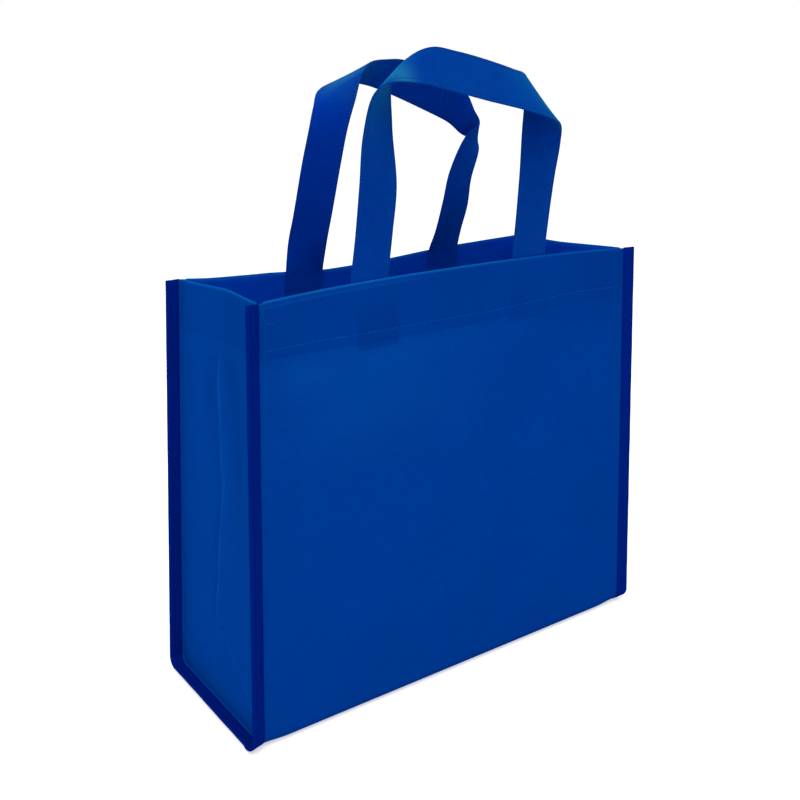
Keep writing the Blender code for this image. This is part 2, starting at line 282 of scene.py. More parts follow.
def hem_depths(face, x):
    """How deep a wall's hem is at x: down to its stitches and down to its raw edge."""
    stitch_sag = np.where(face == FRONT, np.interp(x, FRONT_HEM_AT, FRONT_STITCH_SAG), 0)
    edge_sag = np.where(face == FRONT, np.interp(x, FRONT_HEM_AT, FRONT_EDGE_SAG), 0)
    return HEM_STITCH_DEPTH + stitch_sag, HEM_DEPTH + edge_sag


def wall_relief(face, x, z):
    """How far the front or the back cloth stands out from its smooth shape."""
    drop = BAG_HEIGHT - z
    inside = 1 - np.clip(np.abs(x) / half_width(z), 0, 1) ** 10
    away = ease((half_width(z) - np.abs(x)) / 0.045) * ease(drop / 0.06) * ease(z / 0.05)
    relief = WALL_WAVES * away * gentle_waves(x, z, 5 + face, 0.16, 7)
    if face == FRONT:
        relief += FRONT_BELLY * away * soft_spot(x, -0.070, 0.062, z, 0.228, 0.030)
        relief -= FRONT_TUCK * away * soft_spot(x, -0.140, 0.022, z, 0.195, 0.040)
    stitch_depth, hem_depth = hem_depths(face, x)
    relief += HEM_STAND_OFF * inside * above(hem_depth, drop)
    # The stitches draw the cloth in unevenly.
    pucker = 1 + 0.5 * np.sin(x / 0.0011) + 0.3 * np.sin(x / 0.0037 + 1)
    relief -= STITCH_SINK * inside * pucker * bump_line(drop - stitch_depth, 0.0011)
    relief -= FOLD_SINK * inside * bump_line(drop - 0.0034, 0.0008)
    tail = strap_tails(face, x) * above(PATCH_DEPTH, drop, 0.0020)
    return relief + PATCH_STAND_OFF * tail * ease(drop / 0.004)


def relax(points):
    """Moves points of the plain box bag to where the soft bag has them."""
    x, y, z = points[..., 0], points[..., 1], points[..., 2]
    up = np.clip(z / BAG_HEIGHT, 0, 1)
    across = np.clip(np.abs(x) / half_width(z), 0, 1)
    lift = ease(1 + (np.abs(x) - half_width(z)) / SEAM_LIFT_REACH)
    # How much a point belongs to the front or to the back, 1 on the cloth itself.
    near_front = ease(-2.5 * y / BASE_DEPTH)
    near_back = ease(2.5 * y / BASE_DEPTH)
    middle = 1 - across**3
    # The mouth's back narrows, and both walls bow into the bag towards the mouth.
    new_x = x * (1 - up * BACK_TAPER / MOUTH_WIDTH * (0.5 + y / MOUTH_DEPTH))
    new_y = y + near_front * FRONT_BOW * middle * up**1.5
    new_y -= near_back * BACK_BOW * middle * up**1.5
    new_y -= near_front * wall_relief(FRONT, x, z)
    new_y += near_back * wall_relief(BACK, x, z)
    # The seams stand a little off the floor; the mouth rises to the right and sinks
    # to the back, and the two top edges have their own lines.
    new_z = z + SEAM_LIFT * lift * (1 - up)
    new_z += up * (RIGHT_RISE * new_x / MOUTH_WIDTH - BACK_DROP * y / MOUTH_DEPTH)
    new_z += up**3 * near_front * FRONT_CREST * (1 - across**2)
    edge_tilt = BACK_EDGE_TILT * across * np.sign(x) - BACK_SAG
    new_z += up**3 * near_back * edge_tilt * (1 - across**2)
    new_z += up**3 * near_back * np.interp(x, BACK_EDGE_AT, BACK_EDGE_RISE)
    return np.stack([new_x, new_y, new_z], -1)


def wall_heights(hem_step, wall_step):
    """Heights of the rows on an upright wall, close together down to below the hem."""
    top = BAG_HEIGHT - LAYER_STEP / 2
    change = BAG_HEIGHT - HEM_DEPTH - 0.012
    fine = np.linspace(top, change, round((top - change) / hem_step) + 1)
    coarse_rows = round((change - CORNER_HEIGHT) / wall_step) + 1
    coarse = np.linspace(change, CORNER_HEIGHT, coarse_rows)
    return np.concatenate([fine, coarse[1:]])


class SeamPath:
    """The way of a side's seam: down the front, under the bottom, up the back."""

    def __init__(self, side, front_heights, back_heights, bottom_step):
        start = FRONT_LEFT_SEAM_TURN if side == LEFT else FRONT_RIGHT_SEAM_TURN
        radius = BOTTOM_CORNER_RADIUS
        floor = FABRIC_THICKNESS / 2
        reach = half_depth(0) - radius
        shares = np.linspace(0, 1, 11)[1:-1]
        angles = shares * math.pi / 2
        bottom = np.linspace(-reach, reach, round(2 * reach / bottom_step) + 1)
        corner_y = radius * (1 - np.cos(angles)) - half_depth(0)
        corner_z = floor + radius * (1 - np.sin(angles))

        def joined(front, corner, under, far_corner, back):
            return np.concatenate([front, corner, under, far_corner, back])

        flat = np.zeros_like
        front_y, back_y = -half_depth(front_heights), half_depth(back_heights[::-1])
        self.side = side
        self.y = joined(front_y, corner_y, bottom, -corner_y[::-1], back_y)
        self.z = joined(
            front_heights, corner_z, flat(bottom) + floor, corner_z[::-1], back_heights[::-1]
        )
        self.out_y = joined(
            flat(front_y) - 1, -np.cos(angles), flat(bottom), np.cos(angles[::-1]), flat(back_y) + 1
        )
        self.out_z = joined(
            flat(front_y), -np.sin(angles), flat(bottom) - 1, -np.sin(angles[::-1]), flat(back_y)
        )
        under = BOTTOM_SEAM_TURN
        self.turn = joined(
            flat(front_y) + start,
            start + (under - start) * shares,
            flat(bottom) + under,
            under + (BACK_SEAM_TURN - under) * shares,
            flat(back_y) + BACK_SEAM_TURN,
        )
        steps = np.hypot(np.diff(self.y), np.diff(self.z))
        self.length = np.concatenate([[0], np.cumsum(steps)])
        self.inward = flat(self.y)

    def with_hems(self, rows):
        """Adds the folded hem at both ends, from its raw edge to the fold."""
        top = BAG_HEIGHT - LAYER_STEP / 2
        below = np.linspace(BAG_HEIGHT - HEM_DEPTH, top, rows)
        angles = np.radians([150, 120, 90, 60, 30])
        z = np.concatenate([below, top + LAYER_STEP / 2 * np.sin(angles)])
        inward = np.concatenate([np.ones(rows), 0.5 - 0.5 * np.cos(angles)])
        length = -(top - z) - LAYER_STEP
        count = len(z)
        self.hem_rows = count
        self.length = np.concatenate([length, self.length, self.length[-1] - length[::-1]])
        self.y = np.concatenate([-half_depth(z), self.y, half_depth(z[::-1])])
        self.z = np.concatenate([z, self.z, z[::-1]])
        self.inward = np.concatenate([inward, self.inward, inward[::-1]]) * LAYER_STEP
        for name in ("out_y", "out_z", "turn"):
            values = getattr(self, name)
            ends = [np.full(count, values[0]), values, np.full(count, values[-1])]
            setattr(self, name, np.concatenate(ends))
        return self

    def across(self, out, along):
        """Points out from the seam, and along the outward normal; one row per station."""
        x = self.side * (half_width(self.z)[:, None] + out)
        y = self.y[:, None] + along * self.out_y[:, None]
        z = self.z[:, None] + along * self.out_z[:, None]
        return np.stack(np.broadcast_arrays(x, y, z), -1)

    def on_allowance(self, out, lift):
        """Points of the section, measured on the turned allowances."""
        cos, sin = np.cos(self.turn)[:, None], np.sin(self.turn)[:, None]
        return self.across(out * cos - lift * sin, out * sin + lift * cos)


# Mesh making


def mesh_piece(name, points, faces, flat_points, material, marks=None):
    """An object from points and four-cornered faces, with its flat cut as UVs in metres.

    Its marks say at each point how far a second layer behind shows through and how far
    shade is painted in, and how far a highlight is painted in and a crease whitened.
    """
    data = bpy.data.meshes.new(name)
    data.from_pydata(points.reshape(-1, 3).tolist(), [], faces.tolist())
    corners = np.empty(len(data.loops), int)
    data.loops.foreach_get("vertex_index", corners)
    layer = data.uv_layers.new(name="cut")
    layer.data.foreach_set("uv", flat_points.reshape(-1, 2)[corners].ravel())
    for mark, values in (marks or {}).items():
        data.attributes.new(mark, "FLOAT", "POINT").data.foreach_set("value", values.ravel())
    data.polygons.foreach_set("use_smooth", np.ones(len(data.polygons), bool))
    data.materials.append(material)
    piece = bpy.data.objects.new(name, data)
    bpy.context.scene.collection.objects.link(piece)
    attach(piece, "root")
    return piece


def grid_faces(rows, columns, keep=None, closed=False):
    """Faces between neighbouring rows and columns, leaving out those not kept."""
    row, column = np.mgrid[0 : rows - 1, 0 : columns if closed else columns - 1]
    row, column = row.ravel(), column.ravel()
    if keep is not None:
        kept = keep(row, column)
        row, column = row[kept], column[kept]
    beside = (column + 1) % columns
    here, below = row * columns, (row + 1) * columns
    return np.stack([here + column, here + beside, below + beside, below + column], 1)


def without_unused(faces, points, *values):
    """The faces renumbered, and the points and values that they use."""
    used = np.zeros(points.shape[0] * points.shape[1], bool)
    used[faces.ravel()] = True
    renumber = np.cumsum(used) - 1
    kept = [value.reshape(-1)[used] for value in values]
    return renumber[faces], points.reshape(-1, points.shape[-1])[used], *kept


def hem_faces(path, faces, columns):
    """1 for the faces of the hem's turned-in layer, and 0 for the others."""
    row = faces[:, 0] // columns
    turned_in = path.hem_rows - 3
    return ((row < turned_in) | (row >= len(path.z) - turned_in - 1)).astype(np.int32)


def thicken(piece, thickness, inner_finish=None, turned_in=None):
    """Gives an open sheet the thickness of the cloth, and its inner face a finish."""
    if inner_finish:
        piece.data.materials.append(inner_finish)
        piece.data.polygons.foreach_set("material_index", turned_in)
    solidify = piece.modifiers.new("thickness", "SOLIDIFY")
    solidify.thickness = thickness
    solidify.offset = 0
    solidify.use_even_offset = True
    solidify.use_quality_normals = True
    solidify.material_offset = 1 if inner_finish else 0


# Materials


def linear(hex_colour):
    """An sRGB hex colour as a linear colour."""
    values = [int(hex_colour[i : i + 2], 16) / 255 for i in (1, 3, 5)]
    return tuple(v / 12.92 if v <= 0.04045 else ((v + 0.055) / 1.055) ** 2.4 for v in values) + (1,)


def put(tree, kind, inputs=None, **settings):
    """Adds a node with its settings, its socket values and the links into it."""
    node = tree.nodes.new("ShaderNode" + kind)
    for name, value in settings.items():
        setattr(node, name, value)
    for socket, value in (inputs or {}).items():
        if isinstance(value, bpy.types.NodeSocket):
            tree.links.new(value, node.inputs[socket])
        else:
            node.inputs[socket].default_value = value
    return node.outputs


def new_material(name):
    """A material with an empty node tree, and that tree."""
    material = bpy.data.materials.new(name)
    material.use_nodes = True
    material.node_tree.nodes.clear()
    return material, material.node_tree


def spunbond(
    name,
    raised,
    pressed,
    show_through_and_shade_colour,
    painted_highlight_and_whitening="#0a62b4",
    ribs=0.15,
    roughness=0.85,
    sheen=0.0,
    contrast=1.0,
):
    """Spunbond polypropylene, pressed between hot rollers with a lozenge grid.

    The pressed points are flat, smooth and deeper in colour, and the loose fibres
    between them stand up and scatter a paler blue. The colour after the pressed one
    shows where more layers lie behind and where shade is painted in, and the last
    colour where highlights are painted in and creases whitened. With more ribs the grid
    turns into lines along the strap.
    """
    material, tree = new_material(name)
    cut = put(tree, "UVMap", uv_map="cut")["UV"]
    per_metre = (math.pi / EMBOSS_PITCH, math.pi / (EMBOSS_PITCH * EMBOSS_SQUASH), 1)
    lie = {"Vector": cut, "Rotation": (0, 0, EMBOSS_TURN), "Scale": per_metre}
    turned = put(tree, "Mapping", lie)["Vector"]
    parts = put(tree, "SeparateXYZ", {0: turned})
    ridges = []
    for axis in ("X", "Y"):
        wave = put(tree, "Math", {0: parts[axis]}, operation="SINE")[0]
        ridges.append(put(tree, "Math", {0: wave}, operation="ABSOLUTE")[0])
    ribbed = {0: ridges[1], 1: 1 - ribs, 2: ribs}
    ridges[1] = put(tree, "Math", ribbed, operation="MULTIPLY_ADD")[0]
    lozenges = put(tree, "Math", {0: ridges[0], 1: ridges[1]}, operation="MULTIPLY")[0]
    # Only the middle of each lozenge is pressed flat.
    middles = {0: lozenges, 1: 0.25, 2: 0.80, 3: 0.0, 4: 1.0}
    pressed_in = put(tree, "MapRange", middles, interpolation_type="SMOOTHSTEP")["Result"]

    # The pressed points are deeper, and the fibres vary the colour on three scales.
    deeper = {0: pressed_in, 1: -0.30 * contrast, 2: 0.66}
    tone = put(tree, "Math", deeper, operation="MULTIPLY_ADD")[0]
    sizes = ((FIBRE_CLUMP, 2, 0.6), (FIBRE_CLOUD, 3, 0.5), (FIBRE_PATCH, 2, 0.5))
    clouds = []
    for size, detail, amount in sizes:
        noise = {"Vector": cut, "Scale": 1 / size, "Detail": detail}
        clouds.append(put(tree, "TexNoise", noise)["Fac"])
        centred = put(tree, "Math", {0: clouds[-1], 1: 0.5}, operation="SUBTRACT")[0]
        varied = {0: centred, 1: amount * contrast, 2: tone}
        tone = put(tree, "Math", varied, operation="MULTIPLY_ADD")[0]
    shades = {0: tone, 6: linear(pressed), 7: linear(raised)}
    colour = put(tree, "Mix", shades, data_type="RGBA")[2]
    for mark, marked_colour in (("show_through_and_shade", show_through_and_shade_colour), ("painted_highlight_and_whitening", painted_highlight_and_whitening)):
        share = put(tree, "Attribute", attribute_name=mark)["Fac"]
        shades = {0: share, 6: colour, 7: linear(marked_colour)}
        colour = put(tree, "Mix", shades, data_type="RGBA")[2]

    height = put(tree, "Math", {0: pressed_in, 1: -1.0, 2: 1.0}, operation="MULTIPLY_ADD")[0]
    height = put(tree, "Math", {0: clouds[0], 1: 0.5, 2: height}, operation="MULTIPLY_ADD")[0]
    relief = {"Strength": 0.7 * contrast, "Distance": EMBOSS_HEIGHT, "Height": height}
    bump = put(tree, "Bump", relief)["Normal"]
    shader = put(
        tree,
        "BsdfPrincipled",
        {
            "Base Color": colour,
            "Roughness": roughness,
            "IOR": 1.49,
            "Specular IOR Level": 0.0,
            "Sheen Weight": sheen,
            "Sheen Roughness": 0.45,
            "Sheen Tint": linear("#30dcff"),
            "Normal": bump,
        },
    )
    put(tree, "OutputMaterial", {"Surface": shader["BSDF"]})
    return material


def sewing_thread(name, colour, highlight):
    """Spun polyester sewing thread: matt, with a faint twist."""
    material, tree = new_material(name)
    place = put(tree, "TexCoord")["Object"]
    fine = {"Vector": place, "Scale": 1 / THREAD_TWIST, "Detail": 1}
    twist = put(tree, "TexNoise", fine)["Fac"]
    shades = {0: twist, 6: linear(colour), 7: linear(highlight)}
    shader = put(
        tree,
        "BsdfPrincipled",
        {
            "Base Color": put(tree, "Mix", shades, data_type="RGBA")[2],
            "Roughness": 0.6,
            "IOR": 1.55,
            "Specular IOR Level": 0.05,
        },
    )
    put(tree, "OutputMaterial", {"Surface": shader["BSDF"]})
    return material


# Cloth pieces


def body_marks(x, y, z):
    """How far the body cloth shows what lies behind it and has shade painted in, and how far
    highlights are painted in.
    """
    drop = BAG_HEIGHT - z
    face = np.where(y < 0, FRONT, BACK)
    tails = np.where(face == FRONT, strap_tails(FRONT, x), strap_tails(BACK, x))
    # The layers behind show less towards the right, where the cloth stands off them.
    rightward = ease((x - 0.01) / 0.08)
    hem_depth = hem_depths(face, x)[1]
    show_through_and_shade = (0.25 - 0.15 * rightward) * above(hem_depth, drop)
    # Painted shade: the walls' upper right is darker.
    show_through_and_shade += 0.30 * ease((x - 0.06) / 0.09) * ease((0.085 - drop) / 0.06)
    patch = (0.52 - 0.24 * rightward) * tails * (0.4 + 0.6 * ease(drop / 0.034))
    show_through_and_shade = np.maximum(show_through_and_shade, patch * ease((PATCH_DEPTH + 0.0008 - drop) / 0.0015))
    # Painted highlights along the mouth's fold, and under it along the edge that the folded layer
    # presses out.
    painted_highlight_and_whitening = (0.8 - 0.35 * rightward) * bump_line(drop, 0.0010)
    painted_highlight_and_whitening += 0.35 * bump_line(drop - 0.0036, 0.0006) * ease((0.02 - x) / 0.12)
    # Painted light where the front bellies and under its hem: these places face a little upwards
    # and catch more light.
    belly = soft_spot(x, -0.075, 0.075, z, 0.226, 0.032)
    band = soft_spot(x, -0.060, 0.100, drop, 0.053, 0.013)
    lobe = soft_spot(x, -0.138, 0.026, drop, 0.054, 0.015)
    under_hem = ease((drop - hem_depth) / 0.0015)
    painted_highlight_and_whitening += (0.13 * belly + (0.07 * band + 0.09 * lobe) * under_hem) * (face == FRONT)
    return show_through_and_shade, painted_highlight_and_whitening


def make_body_cloth(material, lining_finish):
    """One cloth down the front, under the bottom and up the back, with folded hems."""
    front, back = wall_heights(*FRONT_ROWS), wall_heights(*BACK_ROWS)
    seams = [SeamPath(side, front, back, BODY_BOTTOM_STEP).with_hems(16) for side in (LEFT, RIGHT)]
    # Both seams have the same stations; only their turn differs.
    path = seams[0]
    rows = len(path.z)
    shares = np.linspace(-0.963, 0.963, BODY_COLUMNS)
    outs = np.array([SEAM_ALLOWANCE, SEAM_ALLOWANCE * 0.66, SEAM_ALLOWANCE * 0.33, 0, -HEM_END_GAP])
    beside = len(outs)
    wide = half_width(path.z)[:, None]

    places, cuts = [], []
    for seam in seams:
        over = seam.on_allowance(np.maximum(outs, 0)[None, :], 0)
        inner = seam.across(outs[None, :], -seam.inward[:, None])
        edge = np.where((outs > 0)[None, :, None], over, inner)
        cut = seam.side * (wide + outs)
        if seam.side == RIGHT:
            edge, cut = edge[:, ::-1], cut[:, ::-1]
        places.append(edge)
        cuts.append(cut)
    out = (np.abs(shares)[None, :] - 1) * wide
    flank = np.where(shares < 0, LEFT, RIGHT)[None, :]
    x = flank * (wide + out)
    y = path.y[:, None] - path.inward[:, None] * path.out_y[:, None] + 0 * x
    z = path.z[:, None] - path.inward[:, None] * path.out_z[:, None] + 0 * x
    points = np.concatenate([places[0], np.stack([x, y, z], -1), places[1]], 1)
    u = np.concatenate([cuts[0], x, cuts[1]], 1)
    v = path.length[:, None] + 0 * u
    columns = points.shape[1]

    def keep(row, column):
        in_hem = (row < path.hem_rows) | (row >= rows - path.hem_rows - 1)
        at_edge = (column < beside - 1) | (column >= columns - beside)
        return ~(in_hem & at_edge)

    # The front's turned-in layer follows its deeper hem.
    turned_in = points[: path.hem_rows]
    deeper = hem_depths(FRONT, turned_in[..., 0])[1] / HEM_DEPTH
    turned_in[..., 2] = BAG_HEIGHT - (BAG_HEIGHT - turned_in[..., 2]) * deeper

    grid = grid_faces(rows, columns, keep)
    show_through_and_shade, painted_highlight_and_whitening = body_marks(*np.moveaxis(points, -1, 0))
    faces, points, show_through_and_shade, painted_highlight_and_whitening, u, v = without_unused(
        grid, relax(points), show_through_and_shade, painted_highlight_and_whitening, u, v
    )
    marks = {"show_through_and_shade": show_through_and_shade, "painted_highlight_and_whitening": painted_highlight_and_whitening}
    flat = np.stack([u, v], -1)
    piece = mesh_piece("body_cloth", points, faces[:, ::-1], flat, material, marks)
    thicken(piece, FABRIC_THICKNESS, lining_finish, hem_faces(path, grid, columns))
    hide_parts("body_panel")


def turn_start(turn):
    """Where the side cloth's turned allowance begins to run straight."""
    radius = SIDE_TURN_RADIUS
    return (radius + FABRIC_THICKNESS / 2 - (LAYER_STEP + radius) * np.sin(turn)) / np.cos(turn)


def side_section(turn):
    """The side cloth's way from its raw edge round the turn, as outs and inwards."""
    radius = SIDE_TURN_RADIUS
    turn = turn[:, None]
    cos, sin = np.cos(turn), np.sin(turn)
    start = turn_start(turn)
    reach = start + (SEAM_ALLOWANCE - start) * np.array([[1, 0.66, 0.33]])
    outs = [reach * cos + LAYER_STEP * sin]
    inwards = [-reach * sin + LAYER_STEP * cos]
    centre_out = start * cos + (LAYER_STEP + radius) * sin
    centre_in = -start * sin + (LAYER_STEP + radius) * cos
    angle = np.linspace(0, 1, 6)[None, :] * (math.pi / 2 - turn)
    outs.append(centre_out - radius * (sin * np.cos(angle) + cos * np.sin(angle)))
    inwards.append(centre_in - radius * (cos * np.cos(angle) - sin * np.sin(angle)))
    return np.concatenate(outs, 1), np.concatenate(inwards, 1)


def middle_line(z):
    """How high and how far in a side cloth's middle is, level with height z at its seam."""
    up = np.clip((z - CORNER_HEIGHT) / (BAG_HEIGHT - CORNER_HEIGHT), 0, 1)
    height = SIDE_CREASE_HEIGHT + (BAG_HEIGHT - SIDE_CREASE_HEIGHT) * up
    return height, SIDE_CREASE_DEPTH + (SIDE_VALLEY - SIDE_CREASE_DEPTH) * ease(1.4 * up)


def sinking(share):
    """How a side cloth sinks from its seam, 0, to its middle line, 1."""
    return ease(share) * 0.35 + share * 0.65


def middle_fold(z):
    """How strong a side cloth's middle fold is at a height, and where it runs."""
    return ease((0.268 - z) / 0.02) * ease((z - 0.050) / 0.03), 0.012 + 0.003 * np.sin(z / 0.03)


def side_relief(side, y, z):
    """How far a side cloth is dented inwards from its smooth shape."""
    drop = BAG_HEIGHT - z
    away = ease((half_depth(z) - np.abs(y)) / 0.030) * ease(drop / 0.05) * ease(z / 0.03)
    dent = SIDE_WAVES * away * gentle_waves(y, z, 21 + side, 0.11, 6)
    # The gusset's middle fold, from below the hem down to where it forks.
    fold, middle = middle_fold(z)
    dent += MIDDLE_FOLD * fold * bump_line(y - middle, 0.0022)
    dent -= MIDDLE_FOLD * fold * bump_line(y - middle + 0.005, 0.0035)
    # A shallow arch-shaped hollow under the hem, round the fold.
    arch = ease((0.272 - z) / 0.012) * ease((z - 0.10) / 0.10)
    span = np.clip(np.abs(y + 0.009) / 0.028, 0, 1.6)
    dent += ARCH_HOLLOW * arch * (1 - ease(span)) * ease((0.276 - z) / 0.05)
    # Packing folds that fork from the middle fold to the two bottom corners.
    fork_height = SIDE_CREASE_HEIGHT * (1 - np.abs(y) / (BASE_DEPTH / 2))
    along_fork = ease((z - 0.004) / 0.012) * ease((SIDE_CREASE_HEIGHT + 0.004 - z) / 0.01)
    along_fork *= ease((np.abs(y) - 0.003) / 0.008)
    dent -= FORK_FOLD * along_fork * bump_line((z - fork_height) * 0.74, 0.0026)
    inside = 1 - np.clip(np.abs(y) / half_depth(z), 0, 1) ** 8
    dent += SIDE_HEM_STEP * inside * bump_line(drop - HEM_STITCH_DEPTH, 0.0011)
    return dent - SIDE_HEM_STEP * inside * above(HEM_DEPTH, drop)


def side_marks(y, z):
    """How far a side cloth shows what lies behind it and has shade painted in, and how far a
    highlight is painted in and its crease whitened.
    """
    drop = BAG_HEIGHT - z
    fold, middle = middle_fold(z)
    beside_fold = y - middle
    show_through_and_shade = 0.15 * above(HEM_DEPTH, drop)
    # Painted shade in the crease of the middle fold.
    show_through_and_shade = np.maximum(show_through_and_shade, 0.25 * fold * bump_line(beside_fold - 0.001, 0.0035))
    # Painted shade in the shallow hollows beside that fold.
    painted_hollow_shade = ease((0.272 - z) / 0.015) * ease((z - 0.16) / 0.07)
    lobes = bump_line(beside_fold - 0.005, 0.0060) + 0.7 * bump_line(beside_fold + 0.019, 0.0090)
    show_through_and_shade = np.maximum(show_through_and_shade, 0.28 * painted_hollow_shade * lobes)
    # A painted highlight along the mouth's fold, and paler crease whitening beside the middle fold.
    painted_highlight_and_whitening = 0.6 * bump_line(drop, 0.0010) + 0.35 * fold * bump_line(beside_fold + 0.0045, 0.0014)
    return show_through_and_shade, painted_highlight_and_whitening


def make_side_cloth(side, name, node, material, lining_finish):
    """The end of the bag, with its edges turned out and creased where it packs flat."""
    heights = wall_heights(*SIDE_ROWS)
    path = SeamPath(side, heights, heights, SIDE_BOTTOM_STEP).with_hems(12)
    rows = len(path.z)
    outs, inwards = side_section(path.turn)
    turn_columns = outs.shape[1]
    edge = path.across(outs, -inwards)
    shares = np.concatenate([[0.03, 0.08], np.linspace(0.12, 1, 23)])[None, :]
    height, valley = middle_line(path.z[:, None])
    last = edge[:, -1:]
    y = last[..., 1] * (1 - shares)
    z = last[..., 2] + (height - last[..., 2]) * shares
    x = half_width(path.z)[:, None] + outs[:, -1:] - path.inward[:, None]
    x = x - valley * sinking(shares)
    x = side * (x - side_relief(side, y, z))
    points = np.concatenate([edge, np.stack([x, y, z], -1)], 1)
    columns = points.shape[1]

    # The cut: across it is the depth of the bag, and the allowances go on beyond.
    forward = np.sign(path.y)[:, None] * np.abs(path.out_y)[:, None]
    downward = path.out_z[:, None]
    u = np.concatenate([path.y[:, None] + forward * outs, y], 1)
    v = np.concatenate([path.z[:, None] + downward * outs, z], 1)

    def keep(row, column):
        in_hem = (row < path.hem_rows) | (row >= rows - path.hem_rows - 1)
        return ~(in_hem & (column < turn_columns))

    grid = grid_faces(rows, columns, keep)
    show_through_and_shade, painted_highlight_and_whitening = side_marks(points[..., 1], points[..., 2])
    faces, points, show_through_and_shade, painted_highlight_and_whitening, u, v = without_unused(
        grid, relax(points), show_through_and_shade, painted_highlight_and_whitening, u, v
    )
    marks = {"show_through_and_shade": show_through_and_shade, "painted_highlight_and_whitening": painted_highlight_and_whitening}
    piece = mesh_piece(name, points, faces, np.stack([u, v], -1), material, marks)
    weld = piece.modifiers.new("middle", "WELD")
    weld.merge_threshold = 0.00002
    thicken(piece, FABRIC_THICKNESS, lining_finish, hem_faces(path, grid, columns))
    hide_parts(node)


def tape_section(turn):
    """The folded tape's way round both allowances, as outs and lifts."""
    space = FABRIC_THICKNESS / 2 + TAPE_GAP + TAPE_THICKNESS / 2
    middle = -LAYER_STEP / 2
    radius = space + LAYER_STEP / 2
    edge = SEAM_ALLOWANCE + TAPE_GAP + TAPE_THICKNESS / 2
    bend = edge - radius
    start = turn_start(turn) + SIDE_TURN_RADIUS / 2 + LAYER_GAP
    run = np.linspace(0, 1, 9)

    def channel(out):
        """The tape is drawn down by the seam's stitches and puffs up beside them."""
        puff = 0.00022 * np.sin(np.clip(out / edge, 0, 1) * math.pi)
        return puff - 0.00042 * bump_line(out - TAPE_STITCH, 0.0009)

    over = (TAPE_START + (bend - TAPE_START) * run)[None, :] + 0 * turn[:, None]
    over_lift = middle + radius + channel(over)
    angles = np.linspace(0, math.pi, 9)[1:-1][None, :] + 0 * turn[:, None]
    round_out = bend + radius * np.sin(angles)
    round_lift = middle + radius * np.cos(angles)
    under = bend + (start[:, None] - bend) * run[None, :]
    under_lift = middle - radius - channel(under)
    outs = np.concatenate([over, round_out, under], 1)
    lifts = np.concatenate([over_lift, round_lift, under_lift], 1)
    return outs, lifts


def tape_path(side):
    """The seam's way, with stations close enough for its tape."""
    heights = wall_heights(*TAPE_ROWS)
    return SeamPath(side, heights, heights, TAPE_BOTTOM_STEP)


def make_binding(side, name, node, material):
    """The tape folded over a seam's raw edges and sewn through."""
    path = tape_path(side)
    path.z[0] = path.z[-1] = BAG_HEIGHT
    outs, lifts = tape_section(path.turn)
    along = path.length
    # The soft tape wanders a little along the seam, but not at its ends.
    wobble = 0.00012 * np.sin(along / 0.011) + 0.00010 * np.sin(along / 0.0043 + 1)
    ends = ease(along / 0.01) * ease((along[-1] - along) / 0.01)
    lifts = lifts + (wobble * ends)[:, None] * np.sign(lifts + LAYER_STEP / 2) * 0.6
    points = relax(path.on_allowance(outs, lifts))
    steps = np.hypot(np.diff(outs, axis=1), np.diff(lifts, axis=1))
    u = np.concatenate([np.zeros((len(along), 1)), np.cumsum(steps, 1)], 1)
    v = along[:, None] + 0 * u
    faces = grid_faces(*u.shape)
    piece = mesh_piece(name, points, faces, np.stack([u, v], -1), material)
    thicken(piece, TAPE_THICKNESS)
    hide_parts(node)


# Straps


def smooth_through(points, steps):
    """Points on a smooth curve through the given points."""
    given = np.array(points, float)
    lengths = np.linalg.norm(np.diff(given, axis=0), axis=1) ** 0.5
    knots = np.concatenate([[0], np.cumsum(lengths)])
    slopes = np.gradient(given, knots, axis=0)
    made = []
    for i in range(len(given) - 1):
        span = knots[i + 1] - knots[i]
        for k in range(steps):
            t = k / steps
            a = (1 + 2 * t) * (1 - t) ** 2 * given[i] + t * (1 - t) ** 2 * span * slopes[i]
            b = t * t * (3 - 2 * t) * given[i + 1] - t * t * (1 - t) * span * slopes[i + 1]
            made.append(a + b)
    made.append(given[-1])
    return np.array(made)


def foot(face, x, z):
    """Where the strap's middle layer lies on the inner face of the hem."""
    inward = LAYER_STEP + FABRIC_THICKNESS / 2 + LAYER_GAP + STRAP_THICKNESS / 2
    return relax(np.array([x, face * (half_depth(z) - inward), z]))


def strap_edges(face, spacing, rise, crossings, steps):
    """The strap's two long edges, from the left foot over the top to the right foot."""
    half = STRAP_WIDTH / 2
    left_feet, right_feet = [], []
    for depth in (STRAP_TAIL, STRAP_TAIL / 2, STRAP_TAIL / 8, 0):
        x, z = spacing / 2, BAG_HEIGHT - depth
        left_feet.append((foot(face, -x - half, z), foot(face, -x + half, z)))
        right_feet.append((foot(face, x + half, z), foot(face, x - half, z)))
    mouth = foot(face, 0.0, BAG_HEIGHT)
    mouth[1] = foot(face, spacing / 2, BAG_HEIGHT)[1]
    low, high = [], []
    for along, out, up, *across, stretch in crossings:
        middle = mouth + np.array([along * spacing / 2, face * out, up * rise])
        reach = np.array(across) / np.linalg.norm(across) * half * stretch
        low.append(middle - reach)
        high.append(middle + reach)
    low = [pair[0] for pair in left_feet] + low + [pair[0] for pair in right_feet[::-1]]
    high = [pair[1] for pair in left_feet] + high + [pair[1] for pair in right_feet[::-1]]
    return smooth_through(low, steps), smooth_through(high, steps)


